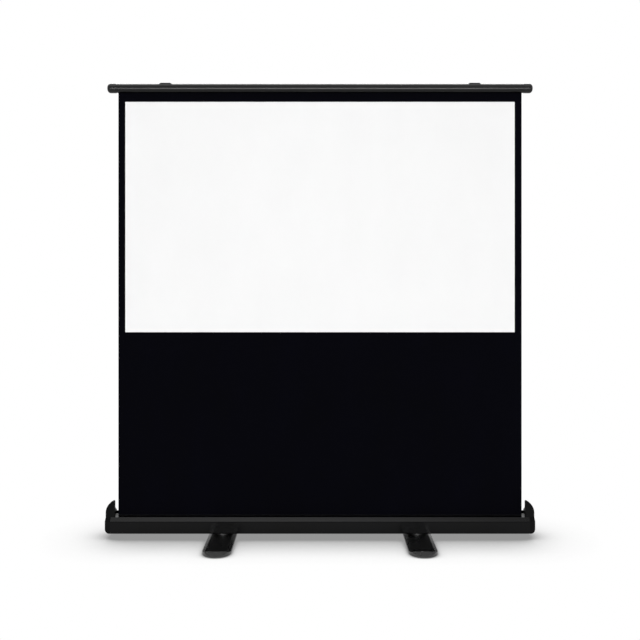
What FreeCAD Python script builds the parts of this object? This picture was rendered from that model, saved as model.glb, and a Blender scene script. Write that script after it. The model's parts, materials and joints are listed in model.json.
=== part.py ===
"""Floor-standing pull-up projection screen, in millimetres.

The floor is z = 0, the front is -Y, and x = 0 is the middle of the case.
The screen is drawn raised, as it stands in use.
"""

import math
import os
import re

import FreeCAD
import Part
import Sketcher

doc = FreeCAD.newDocument("pull_up_screen")

# Driving sizes

SIZES = [
    ("screen_width", "1750", "white viewing surface, width"),
    ("screen_height", "1035", "white viewing surface, height"),
    ("border_side", "31", "black border at each side"),
    ("border_top", "40", "black border above the white"),
    ("black_drop", "821", "black cloth between the white and the case"),
    ("cloth_thickness", "0.5", "masking cloth"),
    ("surface_thickness", "0.3", "white layer on the cloth"),
    ("case_depth", "120", "case, front to back"),
    ("case_height", "70", "case, bottom to top"),
    ("case_wall", "2.5", "extrusion wall"),
    ("case_chamfer", "15", "chamfer along the front top edge"),
    ("case_corner", "5", "round along the bottom edges"),
    ("shadow_line", "1.2", "groove under the chamfer"),
    ("slot_gap", "6", "cloth slot, either side of the cloth"),
    ("web_offset", "7", "web between roller and arms, behind the middle"),
    ("port_radius", "4", "screw port in the extrusion, outside"),
    ("port_sink", "0.5", "how far a port runs into the wall"),
    ("cap_screw_radius", "1.7", "end cap screw, shank"),
    ("cap_screw_head", "4", "end cap screw, head radius"),
    ("cap_screw_grip", "22", "length of the screw in the port"),
    ("screw_head_height", "3", "height of a screw head"),
    ("screw_sink", "4", "depth of a sunk screw head"),
    ("low_screw_sink", "16", "depth of a screw head in the end cap's lower round"),
    ("end_cap_thickness", "23", "case end cap"),
    ("cap_low_round", "22", "round under the end cap's outer edge"),
    ("ear_width", "40", "ear in front of the bar's end, along the case"),
    ("ear_height", "74", "ear above the case"),
    ("ear_crown", "55", "height of the ear's curved outer side"),
    ("ear_tip", "4", "round at the ear's inner tip"),
    ("horn_round", "5", "round at the ear's top"),
    ("rear_lip", "3", "cradle's rear lip above the closed bar's axis"),
    ("rear_lip_round", "2", "round at the rear lip"),
    ("rear_land", "9", "width of the rear lip"),
    ("ear_tail", "5", "cradle above the case at its rear end"),
    ("cradle_gap", "1", "room round the bar in the cradle"),
    ("closed_bar_height", "27", "bar axis above the case when closed"),
    ("bar_diameter", "40", "top bar"),
    ("bar_wall", "1.8", "top bar wall"),
    ("bar_slot", "4", "slot under the top bar"),
    ("bar_cap_length", "44", "bar end cap, outside the tube"),
    ("bar_cap_lip", "1", "end cap over the tube, on the radius"),
    ("bar_cap_round", "14", "round of the end cap's end"),
    ("bar_cap_neck", "3", "groove between the tube and the end cap"),
    ("bar_cap_plug", "30", "end cap, inside the tube"),
    ("edge_rod_radius", "3.5", "rod in the cloth's top hem"),
    ("fit_gap", "0.05", "running fit, on the radius"),
    ("slide_gap", "0.1", "gap between faces that slide"),
    ("seat_gap", "0.3", "gap between pieces that pass"),
    ("roller_radius", "17", "roller tube"),
    ("roller_wall", "1.5", "roller tube wall"),
    ("roller_room", "28.5", "roller axis to the case walls"),
    ("roller_overhang", "6", "roller past the cloth at each end"),
    ("roller_end_room", "19", "roller end to the end cap"),
    ("wrap_thickness", "1.5", "cloth that stays on the roller"),
    ("plug_length", "36", "roller plug, inside the tube"),
    ("plug_flange", "3", "roller plug flange"),
    ("rod_radius", "4", "fixed rod and idle pin"),
    ("tang_width", "5", "flat of the fixed rod"),
    ("tang_reach", "9", "length of that flat"),
    ("spring_radius", "12", "roller spring, outside"),
    ("spring_wire", "2.4", "roller spring wire"),
    ("spring_length", "420", "roller spring"),
    ("spring_grip", "20", "spring seat at each end"),
    ("plate_thickness", "3", "roller bracket"),
    ("plate_half", "19", "roller bracket, half width"),
    ("peg_radius", "2.5", "roller bracket peg"),
    ("peg_length", "6", "roller bracket peg"),
    ("peg_spread", "13", "roller bracket peg from the axis"),
    ("bush_wall", "2", "idle pin bush"),
    ("bush_length", "6", "idle pin bush"),
    ("pivot_inset", "236", "arm pivots from the case's inner end"),
    ("elbow_inset", "555", "elbow inside the pivots when raised"),
    ("pivot_drop", "20", "top pivot under the bar axis"),
    ("arm_floor_gap", "10.5", "knuckle over the case floor"),
    ("arm_width", "26", "arm tube, width"),
    ("arm_thickness", "8", "arm tube, depth"),
    ("arm_wall", "1.5", "arm tube wall"),
    ("knuckle_radius", "15", "arm knuckle"),
    ("knuckle_reach", "20", "pivot to the tube's end"),
    ("tongue_length", "40", "knuckle, inside the tube"),
    ("pin_radius", "4", "arm pivot pin"),
    ("pin_head", "7.5", "pivot pin head radius"),
    ("pin_head_height", "1.8", "pivot pin head"),
    ("washer_radius", "14", "elbow friction washer"),
    ("washer_room", "1.2", "gap between the arms of a pair"),
    ("pair_gap", "5", "gap between the left and right pair"),
    ("ear_thickness", "3.5", "pivot ear of a bar bracket"),
    ("ear_seat", "0.75", "pivot ear behind the bar"),
    ("pivot_gap", "0.5", "arm to pivot ear"),
    ("bracket_ear_radius", "18", "pivot ear round"),
    ("bracket_half", "34", "bar bracket, half width"),
    ("bracket_top_half", "21.5", "bar bracket, half width at the top"),
    ("bracket_rise", "6", "bar bracket above the bar"),
    ("bracket_slope", "9", "slope at the bracket's top corners"),
    ("bracket_skirt", "6", "saddle under the bar axis"),
    ("bar_screw_radius", "2", "bar bracket screw"),
    ("bar_screw_head", "3.6", "bar bracket screw head radius"),
    ("bar_screw_spread", "24", "bar bracket screws from the pivot"),
    ("bar_screw_rise", "6", "bar bracket screws above the bar axis"),
    ("base_ear_thickness", "4", "base bracket ear"),
    ("base_ear_radius", "16", "base bracket ear round"),
    ("base_flange", "4", "base bracket flange, thickness"),
    ("base_flange_half", "30", "base bracket, half width"),
    ("base_screw_radius", "2", "base bracket rivet"),
    ("base_screw_head", "3.8", "base bracket rivet head radius"),
    ("base_screw_height", "2", "base bracket rivet head"),
    ("base_screw_spread", "23", "base bracket rivets from the pivot"),
    ("rivet_tail", "0.8", "rivet tail under a wall"),
    ("foot_inset", "495", "feet from the case's inner end"),
    ("foot_length", "570", "foot, tip to tip"),
    ("foot_width", "122", "foot"),
    ("foot_height", "18", "foot, without its hub"),
    ("foot_skin", "4", "foot top skin"),
    ("foot_rim", "13", "foot side wall at the bottom"),
    ("flank_run", "15", "slope along the foot's sides, width"),
    ("flank_drop", "7", "slope along the foot's sides, height"),
    ("foot_rib", "5", "rib under the foot"),
    ("nose_run", "28", "ramp at the foot's nose, length"),
    ("nose_drop", "15", "ramp at the foot's nose, height"),
    ("hub_radius", "42", "foot hub"),
    ("hub_height", "6", "foot hub"),
    ("swivel_room", "2", "hub to the case"),
    ("swivel_bolt_radius", "4", "swivel bolt"),
    ("swivel_head_radius", "9", "swivel bolt head"),
    ("swivel_head_height", "5", "swivel bolt head"),
    ("swivel_sink", "8", "depth of the bolt head's seat"),
    ("swivel_nut_radius", "6.5", "swivel nut"),
    ("swivel_nut_height", "6", "swivel nut"),
    ("foot_pad_radius", "15", "rubber pad"),
    ("foot_pad_drop", "2", "rubber pad under the foot"),
    ("foot_pad_sink", "1.5", "rubber pad in the foot"),
    ("foot_pad_inset", "50", "rubber pad from the foot's tip"),
    ("handle_span", "140", "handle legs, centre to centre"),
    ("handle_drop", "38", "handle pivot to grip"),
    ("handle_rod_radius", "3.5", "handle rod"),
    ("handle_bend", "11", "bend of the handle rod"),
    ("handle_top_gap", "20", "handle pivot under the case top"),
    ("grip_radius", "8.5", "handle grip"),
    ("grip_length", "98", "handle grip"),
    ("grip_gap", "0.8", "grip to the case"),
    ("lug_width", "14", "handle lug"),
    ("lug_radius", "8", "handle lug round"),
    ("lug_flange", "3", "handle lug flange, thickness"),
    ("lug_flange_half", "19", "handle lug flange, half height"),
    ("lug_rivet_spread", "14", "handle lug rivets from the pivot"),
    ("lug_rivet_radius", "1.8", "handle lug rivet"),
    ("lug_rivet_head", "3.4", "handle lug rivet head radius"),
    ("lug_rivet_height", "1.6", "handle lug rivet head"),
]

# Sizes and places that follow from them

LAYOUT = [
    ("cloth_width", "screen_width + 2 * border_side"),
    ("roller_length", "cloth_width + 2 * roller_overhang"),
    ("inner_length", "roller_length + 2 * roller_end_room"),
    ("case_length", "inner_length + 2 * end_cap_thickness"),
    ("half_depth", "case_depth / 2"),
    ("pivot_offset", "inner_length / 2 - pivot_inset"),
    ("foot_offset", "inner_length / 2 - foot_inset"),
    ("foot_bottom", "foot_pad_drop"),
    ("foot_top", "foot_bottom + foot_height"),
    ("hub_top", "foot_top + hub_height"),
    ("case_bottom", "hub_top + swivel_room"),
    ("case_floor", "case_bottom + case_wall"),
    ("case_top", "case_bottom + case_height"),
    ("roller_y", "-half_depth + case_wall + roller_room"),
    ("roller_z", "case_floor + roller_room"),
    ("wrap_radius", "roller_radius + wrap_thickness"),
    ("cloth_y", "roller_y + wrap_radius + seat_gap + cloth_thickness / 2"),
    ("white_front", "cloth_y - cloth_thickness / 2 - surface_thickness"),
    ("bar_radius", "bar_diameter / 2"),
    ("white_bottom", "case_top + black_drop"),
    ("white_top", "white_bottom + screen_height"),
    ("bar_z", "white_top + border_top + bar_radius"),
    ("bar_tube_length", "case_length - 2 * bar_cap_length"),
    ("edge_rod_z", "bar_z - bar_radius + bar_wall + edge_rod_radius + fit_gap"),
    ("closed_z", "case_top + closed_bar_height"),
    ("ear_top", "case_top + ear_height"),
    ("ear_run", "ear_width - ear_tip"),
    ("ear_arc", "(ear_run ^ 2 + ear_crown ^ 2) / (2 * ear_run)"),
    ("rear_lip_z", "closed_z + rear_lip"),
    ("cradle_radius", "bar_radius + bar_cap_lip + cradle_gap"),
    ("base_z", "case_floor + arm_floor_gap + knuckle_radius"),
    ("top_z", "bar_z - pivot_drop"),
    ("elbow_z", "(base_z + top_z) / 2"),
    ("elbow_x", "pivot_offset - elbow_inset"),
    ("half_rise", "(top_z - base_z) / 2"),
    ("arm_length", "sqrt(elbow_inset ^ 2 + half_rise ^ 2)"),
    ("arm_angle", "atan(half_rise / elbow_inset) / 1deg"),
    ("ear_front", "cloth_y + bar_radius + ear_seat"),
    ("pair_pitch", "2 * arm_thickness + washer_room + pair_gap"),
    ("upper_y", "ear_front + ear_thickness + pivot_gap"),
    ("lower_y", "upper_y + arm_thickness + washer_room"),
    ("base_ear_y", "lower_y - pivot_gap - base_ear_thickness"),
    ("base_flange_depth", "base_ear_y - web_offset - case_wall - seat_gap"),
    ("port_low_y", "half_depth - case_wall - port_radius + port_sink"),
    ("port_low_z", "case_floor + port_radius - port_sink"),
    ("port_front_z", "case_top - case_chamfer - port_radius - 1"),
    ("port_web_y", "web_offset - port_radius + port_sink"),
    ("port_web_z", "case_top - case_wall - port_radius + port_sink"),
    ("handle_y", "half_depth + grip_radius + grip_gap"),
    ("handle_z", "case_top - handle_top_gap"),
]

CELLS = {}


def bound(text):
    """The expression with each named size pointed at its cell."""
    return re.sub(r"[a-z]\w*", lambda word: CELLS.get(word.group(), word.group()), text)


def fill_sheet(name, rows):
    """A sheet with one named cell on each row."""
    sheet = doc.addObject("Spreadsheet::Sheet", name)
    for number, (alias, text, note) in enumerate(rows, 1):
        sheet.set(f"A{number}", alias)
        sheet.set(f"B{number}", text)
        sheet.setAlias(f"B{number}", alias)
        sheet.set(f"C{number}", note)
        CELLS[alias] = f"{name}.{alias}"
    return sheet


dim = fill_sheet("dim", SIZES)
doc.recompute()
lay = doc.addObject("Spreadsheet::Sheet", "lay")
for number, (alias, formula) in enumerate(LAYOUT, 1):
    lay.set(f"A{number}", alias)
    lay.set(f"B{number}", "=" + bound(formula))
    lay.setAlias(f"B{number}", alias)
    CELLS[alias] = f"lay.{alias}"
doc.recompute()


def size(text):
    """What an expression comes to."""
    found = dim.evalExpression(bound(text))
    return float(getattr(found, "Value", found))


# How pieces are made

NODES = {}
PLANES = {"XY": "XY_Plane", "XZ": "XZ_Plane", "YZ": "YZ_Plane"}


def place(item, x="0", y="0", z="0", axis=(0, 0, 1), angle="0"):
    """Binds where an object stands and how it is turned."""
    item.Placement = FreeCAD.Placement(
        FreeCAD.Vector(size(x), size(y), size(z)),
        FreeCAD.Rotation(FreeCAD.Vector(*axis), size(angle)),
    )
    for letter, text in zip("xyz", (x, y, z)):
        item.setExpression(f"Placement.Base.{letter}", bound(text))
    if re.search(r"[a-z]", angle):
        item.setExpression("Placement.Rotation.Angle", bound(f"({angle}) * 1deg"))


def arc(start, finish, radius, turn):
    """The arc from start to finish that turns left or right, drawn counterclockwise."""
    if turn == "right":
        start, finish = finish, start
    chord = finish - start
    left = FreeCAD.Vector(-chord.y, chord.x, 0).normalize()
    reach = math.sqrt(max(radius**2 - (chord.Length / 2) ** 2, 0))
    middle = (start + finish) * 0.5 + left * reach
    whole = Part.Circle(middle, FreeCAD.Vector(0, 0, 1), radius)
    first = math.atan2(start.y - middle.y, start.x - middle.x)
    last = math.atan2(finish.y - middle.y, finish.x - middle.x)
    return Part.ArcOfCircle(whole, first, last if last > first else last + 2 * math.pi)


class Piece:
    """A body whose sketches have every corner bound to the sizes."""

    def __init__(self, name):
        self.name = name
        self.body = doc.addObject("PartDesign::Body", name)
        self.count = 0

    def sketch(self, plane, level):
        self.count += 1
        drawing = self.body.newObject("Sketcher::SketchObject", f"{self.name}_sketch_{self.count}")
        role = PLANES[plane]
        base = [item for item in self.body.Origin.OriginFeatures if item.Role == role][0]
        drawing.AttachmentSupport = [(base, "")]
        drawing.MapMode = "FlatFace"
        sign = "-" if plane == "XZ" else ""
        drawing.AttachmentOffset.Base = FreeCAD.Vector(0, 0, 0)
        drawing.setExpression("AttachmentOffset.Base.z", bound(f"{sign}({level})"))
        return drawing

    def lock(self, drawing, geometry, end, point):
        """Holds one end of a line or arc, or a centre, at its place."""
        for kind, axis, text in (("DistanceX", -2, point[0]), ("DistanceY", -1, point[1])):
            if abs(size(text)) < 1e-9:
                drawing.addConstraint(Sketcher.Constraint("PointOnObject", geometry, end, axis))
                continue
            held = drawing.addConstraint(Sketcher.Constraint(kind, geometry, end, size(text)))
            drawing.setExpression(f"Constraints[{held}]", bound(text))

    def hold_radius(self, drawing, geometry, text):
        held = drawing.addConstraint(Sketcher.Constraint("Radius", geometry, size(text)))
        drawing.setExpression(f"Constraints[{held}]", bound(text))

    def loop(self, drawing, points):
        """A closed loop; (x, y, radius, turn) starts an arc that turns left or right."""
        spots = [FreeCAD.Vector(size(point[0]), size(point[1]), 0) for point in points]
        chain = []
        for here, point in enumerate(points):
            start = spots[here]
            finish = spots[(here + 1) % len(spots)]
            if len(point) == 2:
                chain.append((drawing.addGeometry(Part.LineSegment(start, finish), False), 1, 2))
                continue
            bend = arc(start, finish, size(point[2]), point[3])
            number = drawing.addGeometry(bend, False)
            chain.append((number, 1, 2) if point[3] == "left" else (number, 2, 1))
        for here, (number, first, last) in enumerate(chain):
            after, after_first, _ = chain[(here + 1) % len(chain)]
            drawing.addConstraint(
                Sketcher.Constraint("Coincident", number, last, after, after_first)
            )
            self.lock(drawing, number, first, points[here])
            if len(points[here]) == 4:
                self.hold_radius(drawing, number, points[here][2])

    def circle(self, drawing, x, y, radius):
        round_line = Part.Circle(FreeCAD.Vector(size(x), size(y), 0), FreeCAD.Vector(0, 0, 1), size(radius))
        number = drawing.addGeometry(round_line, False)
        self.lock(drawing, number, 3, (x, y))
        self.hold_radius(drawing, number, radius)

    def drawn(self, plane, level, loops, circles):
        drawing = self.sketch(plane, level)
        for points in loops:
            self.loop(drawing, points)
        for spot in circles:
            self.circle(drawing, *spot)
        return drawing

    def feature(self, kind, drawing):
        made = self.body.newObject(f"PartDesign::{kind}", f"{self.name}_{kind.lower()}_{self.count}")
        made.Profile = drawing
        return made

    def pad(self, plane, start, length, loops=(), circles=()):
        """Material from start, towards the plane's positive side."""
        made = self.feature("Pad", self.drawn(plane, start, loops, circles))
        made.setExpression("Length", bound(length))
        made.Reversed = plane == "XZ"
        return self

    def pocket(self, plane, start, length, loops=(), circles=()):
        """Takes material out from start, towards the plane's positive side."""
        made = self.feature("Pocket", self.drawn(plane, start, loops, circles))
        made.setExpression("Length", bound(length))
        made.Reversed = plane != "XZ"
        return self

    def turn(self, profile):
        """Turns a profile of (along, radius) corners about the body's X axis."""
        drawing = self.drawn("XY", "0", [profile], ())
        made = self.feature("Revolution", drawing)
        made.ReferenceAxis = (drawing, ["H_Axis"])
        made.Angle = 360
        return self

    def edges(self, wanted):
        doc.recompute()
        shape = self.body.Tip.Shape
        return [f"Edge{n}" for n, edge in enumerate(shape.Edges, 1) if wanted(edge)]

    def soften(self, kind, amount, wanted):
        """Rounds or bevels the edges that the test picks."""
        names = self.edges(wanted)
        base = self.body.Tip
        self.count += 1
        made = self.body.newObject(f"PartDesign::{kind}", f"{self.name}_{kind.lower()}_{self.count}")
        made.Base = (base, names)
        made.setExpression("Radius" if kind == "Fillet" else "Size", bound(amount))
        return self

    def at(self, x="0", y="0", z="0", axis=(0, 0, 1), angle="0"):
        place(self.body, x, y, z, axis, angle)
        return self

    def keep(self):
        """Makes this body a node by itself."""
        NODES[self.name] = self.body
        return self


def group(name, pieces):
    """Pieces that share one node, each a solid of its own."""
    made = doc.addObject("Part::Compound", name)
    made.Links = [piece.body for piece in pieces]
    NODES[name] = made


def rectangle(x0, y0, x1, y1):
    return [(x0, y0), (x1, y0), (x1, y1), (x0, y1)]


def ring(inner, outer, start, finish):
    """Turned profile of a plain tube or washer."""
    return [(start, inner), (finish, inner), (finish, outer), (start, outer)]


ALONG_Y = {"axis": (0, 0, 1), "angle": "90"}
ALONG_Z = {"axis": (0, 1, 0), "angle": "-90"}
SIDES = (("left", "-", 0), ("right", "", 1))

# Case

case = Piece("case_body")
case.pad(
    "YZ",
    "-inner_length / 2",
    "inner_length",
    [
        [
            ("-half_depth + case_corner", "case_bottom"),
            ("half_depth - case_corner", "case_bottom", "case_corner", "left"),
            ("half_depth", "case_bottom + case_corner"),
            ("half_depth", "case_top"),
            ("half_depth - case_wall", "case_top"),
            ("half_depth - case_wall", "case_floor"),
            ("web_offset + case_wall", "case_floor"),
            ("web_offset + case_wall", "case_top"),
            ("cloth_y + slot_gap", "case_top"),
            ("cloth_y + slot_gap", "case_top - case_wall"),
            ("web_offset", "case_top - case_wall"),
            ("web_offset", "case_floor"),
            ("-half_depth + case_wall", "case_floor"),
            ("-half_depth + case_wall", "case_top - case_chamfer - case_wall * 0.4"),
            ("-half_depth + case_chamfer + case_wall * 0.4", "case_top - case_wall"),
            ("cloth_y - slot_gap", "case_top - case_wall"),
            ("cloth_y - slot_gap", "case_top"),
            ("-half_depth + case_chamfer", "case_top"),
            ("-half_depth", "case_top - case_chamfer"),
            ("-half_depth", "case_top - case_chamfer - shadow_line"),
            ("-half_depth + shadow_line", "case_top - case_chamfer - shadow_line * 1.5"),
            ("-half_depth", "case_top - case_chamfer - shadow_line * 2"),
            ("-half_depth", "case_bottom + case_corner", "case_corner", "left"),
        ]
    ],
)
PORTS = [
    ("-port_low_y", "port_low_z", "low_screw_sink"),
    ("port_low_y", "port_low_z", "low_screw_sink"),
    ("-port_low_y", "port_front_z", "screw_sink"),
    ("port_web_y", "port_web_z", "screw_sink"),
]
case.pad(
    "YZ", "-inner_length / 2", "inner_length", circles=[(y, z, "port_radius") for y, z, _ in PORTS]
)
case.pocket(
    "YZ",
    "-inner_length / 2 - 1",
    "inner_length + 2",
    circles=[(y, z, "cap_screw_radius + fit_gap") for y, z, _ in PORTS],
)

# Holes in the case floor for the swivel bolts and the base bracket rivets
floor_holes = []
for side, sign, rear in SIDES:
    floor_holes.append((f"{sign}foot_offset", "0", "swivel_bolt_radius + seat_gap"))
    flange_y = f"base_ear_y + {rear} * pair_pitch - base_flange_depth / 2"
    for reach in ("-", "+"):
        floor_holes.append(
            (f"{sign}pivot_offset {reach} base_screw_spread", flange_y, "base_screw_radius + fit_gap")
        )
case.pocket("XY", "case_bottom - 1", "case_wall + 1.5", circles=floor_holes)

# Holes in the rear wall for the handle lugs
lug_x = "handle_span / 2 + handle_bend + seat_gap + lug_width / 2"
wall_holes = []
for side, sign, rear in SIDES:
    for reach in ("-", "+"):
        wall_holes.append(
            (f"{sign}({lug_x})", f"handle_z {reach} lug_rivet_spread", "lug_rivet_radius + fit_gap")
        )
case.pocket("XZ", "half_depth - case_wall - 0.5", "case_wall + 1", circles=wall_holes)
case.keep()

# Case end caps, with the cradles for the bar

END_OUTLINE = [
    ("-half_depth + case_corner", "case_bottom"),
    ("half_depth - case_corner", "case_bottom", "case_corner", "left"),
    ("half_depth", "case_bottom + case_corner"),
    ("half_depth", "case_top + ear_tail"),
    ("cloth_y + cradle_radius + rear_land", "rear_lip_z"),
    ("cloth_y + cradle_radius + rear_lip_round", "rear_lip_z", "rear_lip_round", "left"),
    ("cloth_y + cradle_radius", "rear_lip_z - rear_lip_round"),
    ("cloth_y + cradle_radius", "closed_z", "cradle_radius", "right"),
    ("cloth_y", "closed_z - cradle_radius", "cradle_radius", "right"),
    ("cloth_y - cradle_radius", "closed_z"),
    ("cloth_y - cradle_radius", "ear_top - horn_round", "horn_round", "left"),
    ("cloth_y - cradle_radius - horn_round", "ear_top"),
    ("-half_depth + case_chamfer + horn_round", "ear_top", "horn_round", "left"),
    ("-half_depth + case_chamfer", "ear_top - horn_round"),
    ("-half_depth + case_chamfer", "case_top"),
    ("-half_depth", "case_top - case_chamfer"),
    ("-half_depth", "case_bottom + case_corner", "case_corner", "left"),
]
FIN_OUTLINE = [
    ("-half_depth + case_chamfer", "case_top + seat_gap"),
    ("cloth_y - cradle_radius", "case_top + seat_gap"),
    ("cloth_y - cradle_radius", "ear_top - horn_round", "horn_round", "left"),
    ("cloth_y - cradle_radius - horn_round", "ear_top"),
    ("-half_depth + case_chamfer + horn_round", "ear_top", "horn_round", "left"),
    ("-half_depth + case_chamfer", "ear_top - horn_round"),
]
peg_spots = [("roller_y", "roller_z + peg_spread"), ("roller_y", "roller_z - peg_spread")]
cap_screws = []
for side, sign, rear in SIDES:
    cap = Piece(f"end_cap_{side}")
    inner = "inner_length / 2"
    start = inner if rear else f"-{inner} - end_cap_thickness"
    cap.pad("YZ", start, "end_cap_thickness", [END_OUTLINE])
    overhang = "(ear_width - end_cap_thickness)"
    cap.pad("YZ", f"{inner} - {overhang}" if rear else f"-{inner}", overhang, [FIN_OUTLINE])
    face = f"{sign}case_length / 2"
    out = "+" if rear else "-"
    back_in = "-" if rear else "+"
    turn = "right" if rear else "left"
    low = [
        (f"{face} {back_in} cap_low_round", "case_bottom"),
        (f"{face} {back_in} cap_low_round", "case_bottom - 1"),
        (f"{face} {out} 1", "case_bottom - 1"),
        (f"{face} {out} 1", "case_bottom + cap_low_round"),
        (face, "case_bottom + cap_low_round", "cap_low_round", turn),
    ]
    high = [
        (face, "ear_top - ear_crown"),
        (f"{face} {out} 1", "ear_top - ear_crown"),
        (f"{face} {out} 1", "ear_top + 1"),
        (f"{face} {back_in} ear_width {back_in} 1", "ear_top + 1"),
        (f"{face} {back_in} ear_width {back_in} 1", "ear_top - ear_tip"),
        (f"{face} {back_in} ear_width", "ear_top - ear_tip", "ear_tip", turn),
        (f"{face} {back_in} ear_run", "ear_top", "ear_arc", turn),
    ]
    cap.pocket("XZ", "-half_depth - 1", "case_depth + 2", [low, high])
    for y, z, sink in PORTS:
        seat_start = f"{inner} + end_cap_thickness - {sink}" if rear else f"{start} - 1"
        cap.pocket("YZ", seat_start, f"{sink} + 1", circles=[(y, z, "cap_screw_head + fit_gap")])
        hole = (y, z, "cap_screw_radius + fit_gap")
        cap.pocket("YZ", f"{start} - 1", "end_cap_thickness + 2", circles=[hole])
    peg_start = f"{inner} - 1" if rear else f"-{inner} - peg_length - seat_gap"
    cap.pocket(
        "YZ",
        peg_start,
        "peg_length + seat_gap + 1",
        circles=[(y, z, "peg_radius + fit_gap") for y, z in peg_spots],
    )
    cap.keep()
    for number, (y, z, sink) in enumerate(PORTS):
        screw = Piece(f"end_cap_screw_{side}_{number}")
        tail = f"-(end_cap_thickness - {sink} + cap_screw_grip)"
        screw.turn(
            [
                ("0", "0"),
                ("screw_head_height", "0"),
                ("screw_head_height", "cap_screw_head"),
                ("0", "cap_screw_head"),
                ("0", "cap_screw_radius"),
                (tail, "cap_screw_radius"),
                (tail, "0"),
            ]
        )
        seat_x = f"case_length / 2 - {sink}"
        if rear:
            screw.at(seat_x, y, z)
        else:
            screw.at(f"-({seat_x})", y, z, (0, 0, 1), "180")
        cap_screws.append(screw)
group("end_cap_screws", cap_screws)

# Slot liners either side of the cloth

for name, near, far in (
    ("slot_liner_front", "white_front - seat_gap - slide_gap", "cloth_y - slot_gap"),
    ("slot_liner_rear", "cloth_y + cloth_thickness / 2 + seat_gap", "cloth_y + slot_gap"),
):
    liner = Piece(name)
    liner.pad(
        "YZ",
        "-inner_length / 2",
        "inner_length",
        [rectangle(near, "case_top - 1.6 * case_wall", far, "case_top")],
    )
    liner.keep()

# Roller

roller_place = {"y": "roller_y", "z": "roller_z"}
tube = Piece("roller_tube")
tube.turn(ring("roller_radius - roller_wall", "roller_radius", "-roller_length / 2", "roller_length / 2"))
tube.at(**roller_place).keep()
wraps = Piece("cloth_wraps")
wraps.turn(ring("roller_radius", "wrap_radius", "-cloth_width / 2", "cloth_width / 2"))
wraps.at(**roller_place).keep()

plug_radius = "roller_radius - roller_wall - fit_gap"
spring_inner = "spring_radius - spring_wire"
plug = Piece("roller_plug_left")
plug.turn(
    [
        ("-roller_length / 2 - plug_flange", "rod_radius + fit_gap"),
        ("-roller_length / 2 + plug_length + spring_grip", "rod_radius + fit_gap"),
        ("-roller_length / 2 + plug_length + spring_grip", f"{spring_inner} - fit_gap"),
        ("-roller_length / 2 + plug_length", f"{spring_inner} - fit_gap"),
        ("-roller_length / 2 + plug_length", plug_radius),
        ("-roller_length / 2", plug_radius),
        ("-roller_length / 2", "roller_radius"),
        ("-roller_length / 2 - plug_flange", "roller_radius"),
    ]
)
plug.at(**roller_place).keep()
plug = Piece("roller_plug_right")
plug.turn(
    [
        ("roller_length / 2 - plug_length", "rod_radius"),
        ("roller_length / 2 - plug_length", plug_radius),
        ("roller_length / 2", plug_radius),
        ("roller_length / 2", "roller_radius"),
        ("roller_length / 2 + plug_flange", "roller_radius"),
        ("roller_length / 2 + plug_flange", "rod_radius"),
    ]
)
plug.at(**roller_place).keep()
pin = Piece("roller_idle_pin")
pin.turn(
    [
        ("roller_length / 2 - plug_length", "0"),
        ("inner_length / 2 - seat_gap", "0"),
        ("inner_length / 2 - seat_gap", "rod_radius"),
        ("roller_length / 2 - plug_length", "rod_radius"),
    ]
)
pin.at(**roller_place).keep()
bush = Piece("roller_idle_bush")
bush.turn(
    ring(
        "rod_radius + fit_gap",
        "rod_radius + bush_wall",
        "inner_length / 2 - bush_length",
        "inner_length / 2",
    )
)
bush.at(**roller_place).keep()

spring_start = "-roller_length / 2 + plug_length + slide_gap"
rod = Piece("spring_rod")
rod.turn(
    [
        ("-inner_length / 2", "0"),
        (f"{spring_start} + spring_length", "0"),
        (f"{spring_start} + spring_length", spring_inner),
        (f"{spring_start} + spring_length - spring_grip", spring_inner),
        (f"{spring_start} + spring_length - spring_grip", "rod_radius"),
        ("-inner_length / 2", "rod_radius"),
    ]
)
for low, high in (("-rod_radius - 1", "-tang_width / 2"), ("tang_width / 2", "rod_radius + 1")):
    rod.pocket(
        "YZ",
        "-inner_length / 2 - 1",
        "tang_reach + 1",
        [rectangle("-rod_radius - 1", low, "rod_radius + 1", high)],
    )
rod.at(**roller_place).keep()
spring = Piece("roller_spring")
spring.turn(ring(spring_inner, "spring_radius", spring_start, f"{spring_start} + spring_length"))
spring.at(**roller_place).keep()

for side, sign, rear in SIDES:
    plate = Piece(f"roller_bracket_{side}")
    start = "inner_length / 2 - plate_thickness" if rear else "-inner_length / 2"
    plate.pad(
        "YZ",
        start,
        "plate_thickness",
        [
            rectangle(
                "roller_y - plate_half",
                "roller_z - plate_half",
                "roller_y + plate_half",
                "roller_z + plate_half",
            )
        ],
    )
    peg_start = "inner_length / 2" if rear else "-inner_length / 2 - peg_length"
    plate.pad("YZ", peg_start, "peg_length", circles=[(y, z, "peg_radius") for y, z in peg_spots])
    if rear:
        plate.pocket(
            "YZ",
            f"{start} - 1",
            "plate_thickness + 2",
            circles=[("roller_y", "roller_z", "rod_radius + bush_wall")],
        )
    else:
        plate.pocket(
            "YZ",
            f"{start} - 1",
            "plate_thickness + 2",
            [
                rectangle(
                    "roller_y - rod_radius - fit_gap",
                    "roller_z - tang_width / 2 - fit_gap",
                    "roller_y + rod_radius + fit_gap",
                    "roller_z + tang_width / 2 + fit_gap",
                )
            ],
        )
    plate.keep()

# Cloth and viewing surface

cloth = Piece("masking_cloth")
cloth.pad(
    "XY",
    "roller_z",
    "edge_rod_z - edge_rod_radius - roller_z",
    [
        rectangle(
            "-cloth_width / 2",
            "cloth_y - cloth_thickness / 2",
            "cloth_width / 2",
            "cloth_y + cloth_thickness / 2",
        )
    ],
)
cloth.keep()
white = Piece("viewing_surface")
white.pad(
    "XY",
    "white_bottom",
    "screen_height",
    [
        rectangle(
            "-screen_width / 2",
            "white_front",
            "screen_width / 2",
            "white_front + surface_thickness",
        )
    ],
)
white.keep()

# Top bar

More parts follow.
